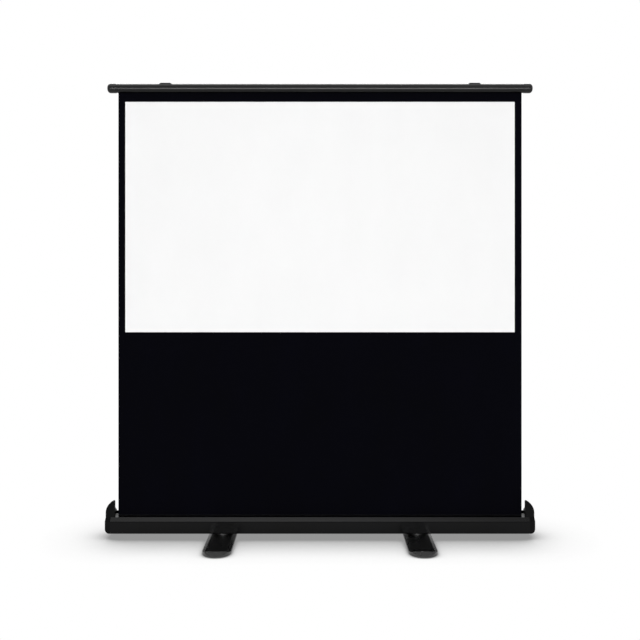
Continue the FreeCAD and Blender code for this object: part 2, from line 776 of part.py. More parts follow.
bar = Piece("top_bar_tube")
bar.pad(
    "YZ",
    "-bar_tube_length / 2",
    "bar_tube_length",
    circles=[("cloth_y", "bar_z", "bar_radius"), ("cloth_y", "bar_z", "bar_radius - bar_wall")],
)
bar.pocket(
    "YZ",
    "-bar_tube_length / 2 - 1",
    "bar_tube_length + 2",
    [
        rectangle(
            "cloth_y - bar_slot / 2",
            "bar_z - bar_radius - 1",
            "cloth_y + bar_slot / 2",
            "bar_z - bar_radius + 2 * bar_wall",
        )
    ],
)
bar_screw_spots = []
for side, sign, rear in SIDES:
    for reach in ("-", "+"):
        bar_screw_spots.append((f"{sign}pivot_offset {reach} bar_screw_spread", "bar_z + bar_screw_rise"))
bar.pocket(
    "XZ",
    "cloth_y",
    "bar_radius + 1",
    circles=[(x, z, "bar_screw_radius + fit_gap") for x, z in bar_screw_spots],
)
bar.keep()

for side, sign, rear in SIDES:
    cap = Piece(f"bar_cap_{side}")
    lip = "bar_radius + bar_cap_lip"
    cap.turn(
        [
            ("-bar_cap_plug", "0"),
            ("bar_cap_length", "0"),
            ("bar_cap_length", f"{lip} - bar_cap_round", "bar_cap_round", "left"),
            ("bar_cap_length - bar_cap_round", lip),
            ("bar_cap_neck", lip),
            ("bar_cap_neck", "bar_radius - bar_wall / 2"),
            ("0", "bar_radius - bar_wall / 2"),
            ("0", "bar_radius - bar_wall - fit_gap"),
            ("-bar_cap_plug", "bar_radius - bar_wall - fit_gap"),
        ]
    )
    cap.pocket(
        "XZ",
        "-bar_radius",
        "2 * bar_radius",
        [
            rectangle(
                "-bar_cap_plug - 1",
                "-bar_radius",
                "-fit_gap",
                "-bar_radius + bar_wall + 2 * edge_rod_radius + 1",
            )
        ],
    )
    if rear:
        cap.at("bar_tube_length / 2", "cloth_y", "bar_z")
    else:
        cap.at("-bar_tube_length / 2", "cloth_y", "bar_z", (0, 0, 1), "180")
    cap.keep()

edge_rod = Piece("cloth_edge_rod")
edge_rod.turn(
    [
        ("-cloth_width / 2", "0"),
        ("cloth_width / 2", "0"),
        ("cloth_width / 2", "edge_rod_radius"),
        ("-cloth_width / 2", "edge_rod_radius"),
    ]
)
edge_rod.at("0", "cloth_y", "edge_rod_z").keep()

# Bar brackets, with the top pivots behind the bar

bar_screws = []
for side, sign, rear in SIDES:
    bracket = Piece(f"bar_bracket_{side}")
    back = f"ear_front + {rear} * pair_pitch"
    peak = "bar_radius + bracket_rise"
    saddle = [
        ("-bracket_half", "-bracket_skirt"),
        ("bracket_half", "-bracket_skirt"),
        ("bracket_half", f"{peak} - bracket_slope"),
        ("bracket_top_half", peak),
        ("-bracket_top_half", peak),
        ("-bracket_half", f"{peak} - bracket_slope"),
    ]
    bracket.pad("XZ", "0", f"{back} - cloth_y", [saddle])
    ear = [
        ("-bracket_ear_radius", "-pivot_drop", "bracket_ear_radius", "left"),
        ("0", "-pivot_drop - bracket_ear_radius", "bracket_ear_radius", "left"),
        ("bracket_ear_radius", "-pivot_drop"),
        ("bracket_half", "-bracket_skirt"),
        ("bracket_half", f"{peak} - bracket_slope"),
        ("bracket_top_half", peak),
        ("-bracket_top_half", peak),
        ("-bracket_half", f"{peak} - bracket_slope"),
        ("-bracket_half", "-bracket_skirt"),
    ]
    bracket.pad("XZ", f"{back} - cloth_y", "ear_thickness", [ear])
    bracket.pocket(
        "YZ", "-bracket_half - 1", "2 * bracket_half + 2", circles=[("0", "0", "bar_radius + fit_gap")]
    )
    bracket.pocket(
        "XZ",
        "-1",
        "bar_radius + 4 * ear_thickness + 2 * pair_pitch",
        circles=[
            ("0", "-pivot_drop", "pin_radius"),
            ("-bar_screw_spread", "bar_screw_rise", "bar_screw_radius + fit_gap"),
            ("bar_screw_spread", "bar_screw_rise", "bar_screw_radius + fit_gap"),
        ],
    )
    bracket.at(f"{sign}pivot_offset", "cloth_y", "bar_z").keep()

    pin = Piece(f"top_pin_{side}")
    grip = "ear_thickness + pivot_gap + arm_thickness + slide_gap"
    pin.turn(
        [
            ("0", "0"),
            (f"{grip} + pin_head_height", "0"),
            (f"{grip} + pin_head_height", "pin_head"),
            (grip, "pin_head"),
            (grip, "pin_radius"),
            ("0", "pin_radius"),
        ]
    )
    pin.at(f"{sign}pivot_offset", back, "top_z", **ALONG_Y).keep()

    for number, reach in enumerate(("-", "+")):
        screw = Piece(f"bar_screw_{side}_{number}")
        screw_length = f"ear_thickness + {rear} * pair_pitch + ear_seat + 3 * bar_wall"
        screw.turn(
            [
                (f"-({screw_length})", "0"),
                ("screw_head_height", "0"),
                ("screw_head_height", "bar_screw_head"),
                ("0", "bar_screw_head"),
                ("0", "bar_screw_radius"),
                (f"-({screw_length})", "bar_screw_radius"),
            ]
        )
        screw.at(
            f"{sign}pivot_offset {reach} bar_screw_spread",
            f"{back} + ear_thickness",
            "bar_z + bar_screw_rise",
            **ALONG_Y,
        )
        bar_screws.append(screw)
group("bar_bracket_screws", bar_screws)

# Folding arms


def arm(name, x, y, z, angle):
    """A tube with a knuckle at each end, from the pivot at x, z along the angle."""
    way = {"axis": (0, -1, 0), "angle": angle}
    half_width = "arm_width / 2"
    shell = Piece(f"{name}_tube")
    shell.pad(
        "YZ",
        "knuckle_reach",
        "arm_length - 2 * knuckle_reach",
        [
            rectangle("0", f"-{half_width}", "arm_thickness", half_width),
            rectangle(
                "arm_wall",
                f"-{half_width} + arm_wall",
                "arm_thickness - arm_wall",
                f"{half_width} - arm_wall",
            ),
        ],
    )
    shell.soften(
        "Fillet",
        "arm_wall",
        lambda edge: abs(abs(edge.BoundBox.Center.z) - size(half_width)) < 1e-4
        and edge.BoundBox.XLength > 100,
    )
    shell.at(x, y, z, **way).keep()
    ends = []
    for number, here in enumerate(("0", "arm_length")):
        knuckle = Piece(f"{name}_knuckle_{number}")
        out = f"{here} {'-' if number else '+'} "
        knuckle.pad("XZ", "0", "arm_thickness", circles=[(here, "0", "knuckle_radius")])
        shoulder = rectangle(here, f"-{half_width}", f"{out}knuckle_reach", half_width)
        knuckle.pad("XZ", "0", "arm_thickness", [shoulder])
        tongue = rectangle(
            f"{out}knuckle_reach / 2",
            f"-{half_width} + arm_wall + fit_gap",
            f"{out}(knuckle_reach + tongue_length)",
            f"{half_width} - arm_wall - fit_gap",
        )
        knuckle.pad("XZ", "arm_wall + fit_gap", "arm_thickness - 2 * arm_wall - 2 * fit_gap", [tongue])
        knuckle.pocket(
            "XZ", "-1", "arm_thickness + 2", circles=[(here, "0", "pin_radius + fit_gap")]
        )
        knuckle.at(x, y, z, **way)
        ends.append(knuckle)
    group(f"{name}_knuckles", ends)


base_rivets = []
for side, sign, rear in SIDES:
    shift = f"{rear} * pair_pitch"
    upright = "arm_angle"
    leaning = "180 - arm_angle"
    lower_angle, upper_angle = (leaning, upright) if rear else (upright, leaning)
    pivot_x = f"{sign}pivot_offset"
    joint_x = f"{sign}elbow_x"
    arm(f"lower_arm_{side}", pivot_x, f"lower_y + {shift}", "base_z", lower_angle)
    arm(f"upper_arm_{side}", joint_x, f"upper_y + {shift}", "elbow_z", upper_angle)

    pin = Piece(f"elbow_pin_{side}")
    grip = "2 * arm_thickness + washer_room + slide_gap"
    pin.turn(
        [
            ("-slide_gap - pin_head_height", "0"),
            (f"{grip} + pin_head_height", "0"),
            (f"{grip} + pin_head_height", "pin_head"),
            (grip, "pin_head"),
            (grip, "pin_radius"),
            ("-slide_gap", "pin_radius"),
            ("-slide_gap", "pin_head"),
            ("-slide_gap - pin_head_height", "pin_head"),
        ]
    )
    pin.at(joint_x, f"upper_y + {shift}", "elbow_z", **ALONG_Y).keep()
    washer = Piece(f"elbow_washer_{side}")
    washer.turn(ring("pin_radius + fit_gap", "washer_radius", "slide_gap", "washer_room"))
    washer.at(joint_x, f"upper_y + arm_thickness + {shift}", "elbow_z", **ALONG_Y).keep()

    bracket = Piece(f"base_bracket_{side}")
    ear_y = f"base_ear_y + {shift}"
    ear = [
        ("-base_flange_half", "case_floor"),
        ("base_flange_half", "case_floor"),
        ("base_flange_half", "case_floor + base_flange"),
        ("base_ear_radius", "base_z", "base_ear_radius", "left"),
        ("0", "base_z + base_ear_radius", "base_ear_radius", "left"),
        ("-base_ear_radius", "base_z"),
        ("-base_flange_half", "case_floor + base_flange"),
    ]
    bracket.pad("XZ", "0", "base_ear_thickness", [ear])
    flange = rectangle("-base_flange_half", "-base_flange_depth", "base_flange_half", "0")
    bracket.pad("XY", "case_floor", "base_flange", [flange])
    bracket.pocket(
        "XZ", "-1", "base_ear_thickness + 2", circles=[("0", "base_z", "pin_radius")]
    )
    bracket.pocket(
        "XY",
        "case_floor - 1",
        "base_flange + 2",
        circles=[
            ("-base_screw_spread", "-base_flange_depth / 2", "base_screw_radius + fit_gap"),
            ("base_screw_spread", "-base_flange_depth / 2", "base_screw_radius + fit_gap"),
        ],
    )
    bracket.at(pivot_x, ear_y, "0").keep()

    pin = Piece(f"base_pin_{side}")
    grip = "base_ear_thickness + pivot_gap + arm_thickness + slide_gap"
    pin.turn(
        [
            ("0", "0"),
            (f"{grip} + pin_head_height", "0"),
            (f"{grip} + pin_head_height", "pin_head"),
            (grip, "pin_head"),
            (grip, "pin_radius"),
            ("0", "pin_radius"),
        ]
    )
    pin.at(pivot_x, ear_y, "base_z", **ALONG_Y).keep()

    for number, reach in enumerate(("-", "+")):
        rivet = Piece(f"base_rivet_{side}_{number}")
        depth = "base_flange + case_wall"
        rivet.turn(
            [
                (f"-({depth}) - rivet_tail", "0"),
                ("base_screw_height", "0"),
                ("base_screw_height", "base_screw_head"),
                ("0", "base_screw_head"),
                ("0", "base_screw_radius"),
                (f"-({depth})", "base_screw_radius"),
                (f"-({depth})", "base_screw_head"),
                (f"-({depth}) - rivet_tail", "base_screw_head"),
            ]
        )
        rivet.at(
            f"{pivot_x} {reach} base_screw_spread",
            f"{ear_y} - base_flange_depth / 2",
            "case_floor + base_flange",
            **ALONG_Z,
        )
        base_rivets.append(rivet)
group("base_bracket_rivets", base_rivets)

# Feet

half_foot = "foot_length / 2"
half_width = "foot_width / 2"
STADIUM = [
    (half_width, f"-{half_foot} + {half_width}"),
    (half_width, f"{half_foot} - {half_width}", half_width, "left"),
    ("0", half_foot, half_width, "left"),
    (f"-{half_width}", f"{half_foot} - {half_width}"),
    (f"-{half_width}", f"-{half_foot} + {half_width}", half_width, "left"),
    ("0", f"-{half_foot}", half_width, "left"),
]
swivel_nuts = []
for side, sign, rear in SIDES:
    foot_x = f"{sign}foot_offset"
    foot = Piece(f"foot_{side}")
    foot.pad("XY", "foot_bottom", "foot_height", [STADIUM])
    flanks = []
    for flank in ("-", ""):
        edge = f"{flank}{half_width}"
        inward = "+" if flank else "-"
        outward = "-" if flank else "+"
        flanks.append(
            [
                (f"{edge} {inward} flank_run", "foot_top"),
                (edge, "foot_top - flank_drop"),
                (f"{edge} {outward} 5", "foot_top - flank_drop"),
                (f"{edge} {outward} 5", "foot_top + 5"),
                (f"{edge} {inward} flank_run", "foot_top + 5"),
            ]
        )
    foot.pocket("XZ", f"-{half_foot} - 1", "foot_length + 2", flanks)
    ramps = []
    for end in ("-", ""):
        tip = f"{end}{half_foot}"
        inward = "+" if end else "-"
        outward = "-" if end else "+"
        ramps.append(
            [
                (f"{tip} {inward} nose_run", "foot_top"),
                (tip, "foot_top - nose_drop"),
                (f"{tip} {outward} 5", "foot_top - nose_drop"),
                (f"{tip} {outward} 5", "foot_top + 5"),
                (f"{tip} {inward} nose_run", "foot_top + 5"),
            ]
        )
    foot.pocket("YZ", f"-{half_width} - 1", "foot_width + 2", ramps)
    cells = []
    cell_x = f"{half_width} - foot_rim"
    cell_near = "hub_radius + foot_rib"
    cell_far = f"{half_foot} - foot_pad_inset - foot_pad_radius - foot_rib"
    cell_mid = f"({cell_near} + {cell_far}) / 2"
    for end in ("-", ""):
        for near, far in (
            (cell_near, f"{cell_mid} - foot_rib / 2"),
            (f"{cell_mid} + foot_rib / 2", cell_far),
        ):
            for flank in ("-", ""):
                cells.append(
                    rectangle(
                        f"{flank}(foot_rib / 2)",
                        f"{end}({near})",
                        f"{flank}({cell_x})",
                        f"{end}({far})",
                    )
                )
    foot.pocket("XY", "foot_bottom - 1", "foot_height - foot_skin + 1", cells)
    foot.pad("XY", "foot_top - 1", "hub_height + 1", circles=[("0", "0", "hub_radius")])
    foot.pocket(
        "XY",
        "foot_bottom - 1",
        "foot_height + hub_height + 2",
        circles=[("0", "0", "swivel_bolt_radius + slide_gap")],
    )
    foot.pocket(
        "XY",
        "foot_bottom - 1",
        "swivel_sink + 1",
        circles=[("0", "0", "swivel_head_radius + seat_gap")],
    )
    pad_y = f"{half_foot} - foot_pad_inset"
    foot.pocket(
        "XY",
        "foot_bottom - 1",
        "foot_pad_sink + 1",
        circles=[
            ("0", f"-({pad_y})", "foot_pad_radius + fit_gap"),
            ("0", pad_y, "foot_pad_radius + fit_gap"),
        ],
    )
    foot.at(foot_x).keep()

    pads = []
    for number, end in enumerate(("-", "")):
        pad = Piece(f"foot_{side}_pad_{number}")
        pad.turn(
            [
                ("0", "0"),
                ("foot_pad_drop + foot_pad_sink", "0"),
                ("foot_pad_drop + foot_pad_sink", "foot_pad_radius"),
                ("foot_pad_drop / 2", "foot_pad_radius"),
                ("0", "foot_pad_radius - foot_pad_drop / 2"),
            ]
        )
        pad.at(foot_x, f"{end}({pad_y})", "0", **ALONG_Z)
        pads.append(pad)
    group(f"foot_{side}_pads", pads)

    washer = Piece(f"swivel_washer_{side}")
    washer.turn(ring("swivel_bolt_radius + slide_gap", "hub_radius", "0", "swivel_room - slide_gap"))
    washer.at(foot_x, "0", "hub_top", **ALONG_Z).keep()
    bolt = Piece(f"swivel_bolt_{side}")
    head_seat = "foot_bottom + swivel_sink - slide_gap"
    bolt.turn(
        [
            ("-swivel_head_height", "0"),
            ("case_floor + swivel_nut_height + 1 - (" + head_seat + ")", "0"),
            ("case_floor + swivel_nut_height + 1 - (" + head_seat + ")", "swivel_bolt_radius"),
            ("0", "swivel_bolt_radius"),
            ("0", "swivel_head_radius"),
            ("-swivel_head_height", "swivel_head_radius"),
        ]
    )
    bolt.at(foot_x, "0", head_seat, **ALONG_Z).keep()
    nut = Piece(f"swivel_nut_{side}")
    corner = "swivel_nut_radius"
    nut.pad(
        "XY",
        "case_floor",
        "swivel_nut_height",
        [
            [
                (corner, "0"),
                (f"{corner} / 2", f"{corner} * 0.866"),
                (f"-{corner} / 2", f"{corner} * 0.866"),
                (f"-{corner}", "0"),
                (f"-{corner} / 2", f"-{corner} * 0.866"),
                (f"{corner} / 2", f"-{corner} * 0.866"),
            ]
        ],
        [("0", "0", "swivel_bolt_radius + fit_gap")],
    )
    nut.at(foot_x)
    swivel_nuts.append(nut)
group("swivel_nuts", swivel_nuts)

# Carry handle on the back of the case

handle = Piece("carry_handle")
leg = "handle_span / 2"
end = f"{lug_x} + lug_width / 2"
path = handle.sketch("XZ", "0")
PATH = [
    (f"-({end})", "0"),
    (f"-{leg} - handle_bend", "0", "right"),
    (f"-{leg}", "-handle_bend"),
    (f"-{leg}", "-handle_drop + handle_bend", "left"),
    (f"-{leg} + handle_bend", "-handle_drop"),
    (f"{leg} - handle_bend", "-handle_drop", "left"),
    (leg, "-handle_drop + handle_bend"),
    (leg, "-handle_bend", "right"),
    (f"{leg} + handle_bend", "0"),
    (end, "0"),
]
spots = [FreeCAD.Vector(size(point[0]), size(point[1]), 0) for point in PATH]
chain = []
for here in range(len(PATH) - 1):
    first, last = spots[here], spots[here + 1]
    if len(PATH[here]) == 2:
        chain.append((path.addGeometry(Part.LineSegment(first, last), False), 1, 2))
        continue
    number = path.addGeometry(arc(first, last, size("handle_bend"), PATH[here][2]), False)
    chain.append((number, 1, 2) if PATH[here][2] == "left" else (number, 2, 1))
    handle.hold_radius(path, number, "handle_bend")
for here, (number, first_end, last_end) in enumerate(chain):
    handle.lock(path, number, first_end, PATH[here])
    if here + 1 < len(chain):
        after, after_first, _ = chain[here + 1]
        path.addConstraint(Sketcher.Constraint("Coincident", number, last_end, after, after_first))
    else:
        handle.lock(path, number, last_end, PATH[-1])
section = handle.drawn("YZ", f"-({end})", (), [("0", "0", "handle_rod_radius")])
sweep = handle.body.newObject("PartDesign::AdditivePipe", "carry_handle_sweep")
sweep.Profile = section
sweep.Spine = (path, [])
handle.at("0", "handle_y", "handle_z").keep()
grip_sleeve = Piece("handle_grip")
grip_sleeve.turn(
    ring("handle_rod_radius + fit_gap", "grip_radius", "-grip_length / 2", "grip_length / 2")
)
grip_sleeve.at("0", "handle_y", "handle_z - handle_drop").keep()

lugs = []
lug_rivets = []
for side, sign, rear in SIDES:
    lug = Piece(f"handle_lug_{side}")
    reach = "grip_radius + grip_gap"
    lug.pad(
        "YZ",
        "-lug_width / 2",
        "lug_width",
        [
            [
                (f"-({reach})", "-lug_radius"),
                ("0", "-lug_radius", "lug_radius", "left"),
                ("lug_radius", "0", "lug_radius", "left"),
                ("0", "lug_radius"),
                (f"-({reach})", "lug_radius"),
            ]
        ],
    )
    lug.pad(
        "XZ",
        f"-({reach})",
        "lug_flange",
        [rectangle("-lug_width / 2", "-lug_flange_half", "lug_width / 2", "lug_flange_half")],
    )
    lug.pocket(
        "YZ",
        "-lug_width / 2 - 1",
        "lug_width + 2",
        circles=[("0", "0", "handle_rod_radius + fit_gap")],
    )
    lug.pocket(
        "XZ",
        f"-({reach}) - 1",
        "lug_flange + 2",
        circles=[
            ("0", "-lug_rivet_spread", "lug_rivet_radius + fit_gap"),
            ("0", "lug_rivet_spread", "lug_rivet_radius + fit_gap"),
        ],
    )
    lug.at(f"{sign}({lug_x})", "handle_y", "handle_z")
    lugs.append(lug)
    for number, way in enumerate(("-", "+")):
        rivet = Piece(f"handle_rivet_{side}_{number}")
        depth = "lug_flange + case_wall"
        rivet.turn(
            [
                (f"-({depth}) - rivet_tail", "0"),
                ("lug_rivet_height", "0"),
                ("lug_rivet_height", "lug_rivet_head"),
                ("0", "lug_rivet_head"),
                ("0", "lug_rivet_radius"),
                (f"-({depth})", "lug_rivet_radius"),
                (f"-({depth})", "lug_rivet_head"),
                (f"-({depth}) - rivet_tail", "lug_rivet_head"),
            ]
        )
        rivet.at(
            f"{sign}({lug_x})",
            "half_depth + lug_flange",
            f"handle_z {way} lug_rivet_spread",
            **ALONG_Y,
        )
        lug_rivets.append(rivet)
group("handle_lugs", lugs)
group("handle_rivets", lug_rivets)

# Check and write

doc.recompute()
for item in doc.Objects:
    if "Invalid" in item.State or "Error" in item.State:
        raise RuntimeError(f"{item.Name} did not build: {item.State}")
os.makedirs("parts", exist_ok=True)
for name, item in NODES.items():
    shape = item.Shape
    if shape.isNull() or not shape.isValid() or not shape.Solids:
        raise RuntimeError(f"{name} has no sound solid")
    shape.exportStep(f"parts/{name}.step")
    box = shape.BoundBox
    print(
        f"{name:26s} solids {len(shape.Solids)} volume {shape.Volume / 1000:9.2f} cm3 "
        f"x {box.XMin:8.2f} {box.XMax:8.2f} y {box.YMin:8.2f} {box.YMax:8.2f} "
        f"z {box.ZMin:8.2f} {box.ZMax:8.2f}"
    )
print(len(NODES), "nodes")
for alias in ("bar_z", "base_z", "top_z", "elbow_x", "elbow_z", "arm_length", "arm_angle", "closed_z"):
    print(alias, round(size(alias), 4))
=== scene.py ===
"""Looks of a pull-up projection screen: finishes, cloth, fasteners, light and camera."""

import json
import math

import bmesh
import bpy
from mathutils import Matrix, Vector


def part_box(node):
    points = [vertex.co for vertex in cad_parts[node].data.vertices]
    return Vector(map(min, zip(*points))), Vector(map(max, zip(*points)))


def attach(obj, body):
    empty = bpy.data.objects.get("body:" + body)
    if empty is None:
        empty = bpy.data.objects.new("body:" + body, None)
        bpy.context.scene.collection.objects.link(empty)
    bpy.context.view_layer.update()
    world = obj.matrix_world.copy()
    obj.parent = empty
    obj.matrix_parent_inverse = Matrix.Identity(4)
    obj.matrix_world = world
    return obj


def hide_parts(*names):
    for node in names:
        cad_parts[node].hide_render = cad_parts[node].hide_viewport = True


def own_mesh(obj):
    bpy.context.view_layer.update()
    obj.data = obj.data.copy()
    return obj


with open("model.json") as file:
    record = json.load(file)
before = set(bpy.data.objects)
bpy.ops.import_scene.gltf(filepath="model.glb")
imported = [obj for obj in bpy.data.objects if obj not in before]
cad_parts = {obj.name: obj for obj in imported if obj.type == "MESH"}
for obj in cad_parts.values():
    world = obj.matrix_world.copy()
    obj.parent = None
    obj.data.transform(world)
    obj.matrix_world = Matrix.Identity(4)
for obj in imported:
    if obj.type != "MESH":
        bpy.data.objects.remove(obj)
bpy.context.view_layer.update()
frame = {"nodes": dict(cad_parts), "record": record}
nodes = frame["nodes"]

MM = 0.001
BODIES = frame["record"]["behaviour"]["bodies"]
BODY_OF = {node: body for body, held in BODIES.items() for node in held}
SLOT_OF = {part["node"]: part["material_slot"] for part in frame["record"]["subparts"]}


# Shader helper
class Finish:
    """A node material around one principled shader, patterned in the object's own metres."""

    # Nearly all values of a noise lie in this range, and the finishes spread it out.
    NOISE_RANGE = (0.3, 0.7)

    def __init__(self, name, **sockets):
        self.material = bpy.data.materials.new(name)
        self.material.use_nodes = True
        self.tree = self.material.node_tree
        self.shader = self.tree.nodes["Principled BSDF"]
        for socket, value in sockets.items():
            self.shader.inputs[socket.replace("_", " ")].default_value = value
        self.place = self.node("ShaderNodeTexCoord").outputs["Object"]

    def node(self, kind, **inputs):
        """A new node, with a number or another node's output on each named input."""
        made = self.tree.nodes.new(kind)
        for socket, value in inputs.items():
            self.feed(made.inputs[socket.replace("_", " ")], value)
        return made

    def feed(self, socket, value):
        if isinstance(value, bpy.types.NodeSocket):
            self.tree.links.new(value, socket)
        else:
            socket.default_value = value

    def stretched(self, scale, turn=(0, 0, 0)):
        """The object's place, turned and then scaled along each axis."""
        turned = self.node("ShaderNodeMapping", Vector=self.place, Rotation=turn)
        return self.node("ShaderNodeMapping", Vector=turned.outputs[0], Scale=scale).outputs[0]

    def noise(self, scale, detail=3.0, place=None):
        made = self.node("ShaderNodeTexNoise", Scale=scale, Detail=detail)
        self.feed(made.inputs["Vector"], place or self.place)
        return made.outputs[0]

    def product(self, first, second):
        made = self.node("ShaderNodeMath")
        made.operation = "MULTIPLY"
        self.feed(made.inputs[0], first)
        self.feed(made.inputs[1], second)
        return made.outputs[0]

    def tint(self, value, dark, light):
        """The surface's colour, from dark to light over the value's range."""
        ramp = self.node("ShaderNodeValToRGB", Fac=value)
        stops = ramp.color_ramp.elements
        for stop, position, colour in zip(stops, self.NOISE_RANGE, (dark, light)):
            stop.position = position
            stop.color = (*colour, 1.0)
        self.feed(self.shader.inputs["Base Color"], ramp.outputs[0])

    def rough(self, value, low, high):
        """The surface's roughness, from low to high over the value's range."""
        begin, end = self.NOISE_RANGE
        spread = self.node(
            "ShaderNodeMapRange", Value=value, From_Min=begin, From_Max=end, To_Min=low, To_Max=high
        )
        self.feed(self.shader.inputs["Roughness"], spread.outputs[0])

    def relief(self, height, depth, strength):
        bump = self.node("ShaderNodeBump", Height=height, Distance=depth, Strength=strength)
        self.feed(self.shader.inputs["Normal"], bump.outputs[0])


# Kinds of finish
def extruded_aluminium(name, dark, light, turn=(0, 0, 0), roughness=(0.3, 0.42), gloss=0.3):
    """Anodised extrusion: fine die lines along its length, and a faint cloud in the dye."""
    finish = Finish(name, Specular_IOR_Level=gloss)
    along = finish.stretched(scale=(0.3, 900.0, 900.0), turn=turn)
    lines = finish.noise(scale=1.0, detail=4.0, place=along)
    cloud = finish.noise(scale=7.0, detail=2.0)
    finish.tint(cloud, dark, light)
    finish.rough(lines, *roughness)
    finish.relief(lines, depth=0.02 * MM, strength=0.3)
    return finish.material


def moulded_plastic(name, dark, light, roughness, grain=900.0, depth=0.08 * MM, gloss=0.4):
    """Moulded plastic with the fine grain of an eroded tool."""
    finish = Finish(name, Specular_IOR_Level=gloss)
    fine = finish.noise(scale=grain, detail=2.0)
    broad = finish.noise(scale=18.0, detail=2.0)
    finish.tint(broad, dark, light)
    finish.rough(broad, *roughness)
    finish.relief(fine, depth=depth, strength=0.5)
    return finish.material


def powder_coat(name, dark, light, roughness, gloss):
    """Powder paint: a soft orange peel over the metal."""
    finish = Finish(name, Specular_IOR_Level=gloss)
    peel = finish.noise(scale=330.0, detail=2.0)
    cloud = finish.noise(scale=9.0, detail=2.0)
    finish.tint(cloud, dark, light)
    finish.rough(cloud, *roughness)
    finish.relief(peel, depth=0.06 * MM, strength=0.4)
    return finish.material


def plated_steel(name):
    """Bright zinc plate with a faint blotch and turning marks."""
    finish = Finish(name, Metallic=1.0)
    blotch = finish.noise(scale=260.0)
    finish.tint(blotch, dark=(0.50, 0.50, 0.49), light=(0.66, 0.66, 0.68))
    finish.rough(blotch, low=0.24, high=0.4)
    finish.relief(finish.noise(scale=1500.0), depth=0.02 * MM, strength=0.4)
    return finish.material


# Length of one band of the wave texture at a scale of 1
WAVE_PERIOD = math.pi / 10.0


def woven(name, dark, light, pitch, depth, roughness, gloss):
    """Plain weave: warp and weft ribs at one pitch, over a faint broad unevenness."""
    finish = Finish(name, Specular_IOR_Level=gloss)
    ribs = []
    for direction in ("X", "Z"):
        wave = finish.node("ShaderNodeTexWave", Vector=finish.place, Scale=WAVE_PERIOD / pitch)
        wave.wave_type = "BANDS"
        wave.bands_direction = direction
        ribs.append(wave.outputs["Fac"])
    weave = finish.product(*ribs)
    uneven = finish.noise(scale=5.0, detail=4.0, place=finish.stretched(scale=(1.0, 1.0, 0.5)))
    finish.tint(uneven, dark, light)
    finish.rough(uneven, *roughness)
    finish.relief(weave, depth=depth, strength=0.5)
    return finish.material


def rubber(name):
    """Dull black rubber with a fine grain."""
    finish = Finish(name, Specular_IOR_Level=0.3)
    fine = finish.noise(scale=1200.0, detail=2.0)
    broad = finish.noise(scale=40.0)
    finish.tint(broad, dark=(0.010, 0.010, 0.010), light=(0.017, 0.017, 0.017))
    finish.rough(fine, low=0.6, high=0.8)
    finish.relief(fine, depth=0.1 * MM, strength=0.6)
    return finish.material


# Finish of each material slot
FINISHES = {
    "case_black": extruded_aluminium(
        "anodised_case",
        dark=(0.0012, 0.0012, 0.0014),
        light=(0.0020, 0.0020, 0.0023),
        roughness=(0.14, 0.20),
        gloss=0.12,
    ),
    "cap_black": moulded_plastic(
        "moulded_cap",
        dark=(0.0012, 0.0012, 0.0014),
        light=(0.0020, 0.0020, 0.0022),
        roughness=(0.36, 0.46),
        gloss=0.05,
    ),
    "bar_black": extruded_aluminium(
        "anodised_bar",
        dark=(0.0010, 0.0010, 0.0012),
        light=(0.0016, 0.0016, 0.0019),
        roughness=(0.20, 0.26),
        gloss=0.22,
    ),
    "bar_cap_black": moulded_plastic(
        "gloss_cap",
        dark=(0.0012, 0.0012, 0.0014),
        light=(0.0020, 0.0020, 0.0023),
        roughness=(0.16, 0.24),
        grain=300.0,
        depth=0.02 * MM,
        gloss=0.26,
    ),
    "cloth_black": woven(
        "black_cloth",
        dark=(0.0008, 0.0008, 0.0018),
        light=(0.0015, 0.0015, 0.0032),
        pitch=0.7 * MM,
        depth=0.15 * MM,
        roughness=(0.85, 0.95),
        gloss=0.03,
    ),
    "screen_white": woven(
        "matte_white",
        dark=(0.90, 0.90, 0.90),
        light=(0.92, 0.92, 0.92),
        pitch=0.5 * MM,
        depth=0.03 * MM,
        roughness=(0.75, 0.85),
        gloss=0.2,
    ),
    "steel": plated_steel("zinc_steel"),
    "bracket_black": powder_coat(
        "painted_bracket",
        dark=(0.004, 0.004, 0.0045),
        light=(0.007, 0.007, 0.0075),
        roughness=(0.40, 0.50),
        gloss=0.14,
    ),
    "bracket_cast": powder_coat(
        "painted_casting",
        dark=(0.004, 0.004, 0.0045),
        light=(0.006, 0.006, 0.0065),
        roughness=(0.42, 0.52),
        gloss=0.12,
    ),
    "knuckle_black": moulded_plastic(
        "filled_nylon",
        dark=(0.007, 0.007, 0.0075),
        light=(0.011, 0.011, 0.012),
        roughness=(0.45, 0.6),
    ),
    "roller_metal": extruded_aluminium(
        "mill_tube",
        dark=(0.55, 0.55, 0.56),
        light=(0.62, 0.62, 0.63),
    ),
    "nylon": moulded_plastic(
        "pale_nylon",
        dark=(0.66, 0.66, 0.62),
        light=(0.74, 0.74, 0.70),
        roughness=(0.4, 0.5),
    ),
    "liner_black": moulded_plastic(
        "slot_trim",
        dark=(0.005, 0.005, 0.005),
        light=(0.008, 0.008, 0.008),
        roughness=(0.6, 0.75),
        grain=1500.0,
        depth=0.2 * MM,
    ),
    "foot_black": powder_coat(
        "painted_foot",
        dark=(0.0010, 0.0010, 0.0011),
        light=(0.0016, 0.0016, 0.0018),
        roughness=(0.24, 0.32),
        gloss=0.85,
    ),
    "rubber": rubber("black_rubber"),
}


def arm_finish(name, lean):
    """Anodised arm tube, with its die lines along the way it leans."""
    return extruded_aluminium(
        name,
        dark=(0.008, 0.008, 0.0085),
        light=(0.012, 0.012, 0.013),
        turn=(0, lean, 0),
    )


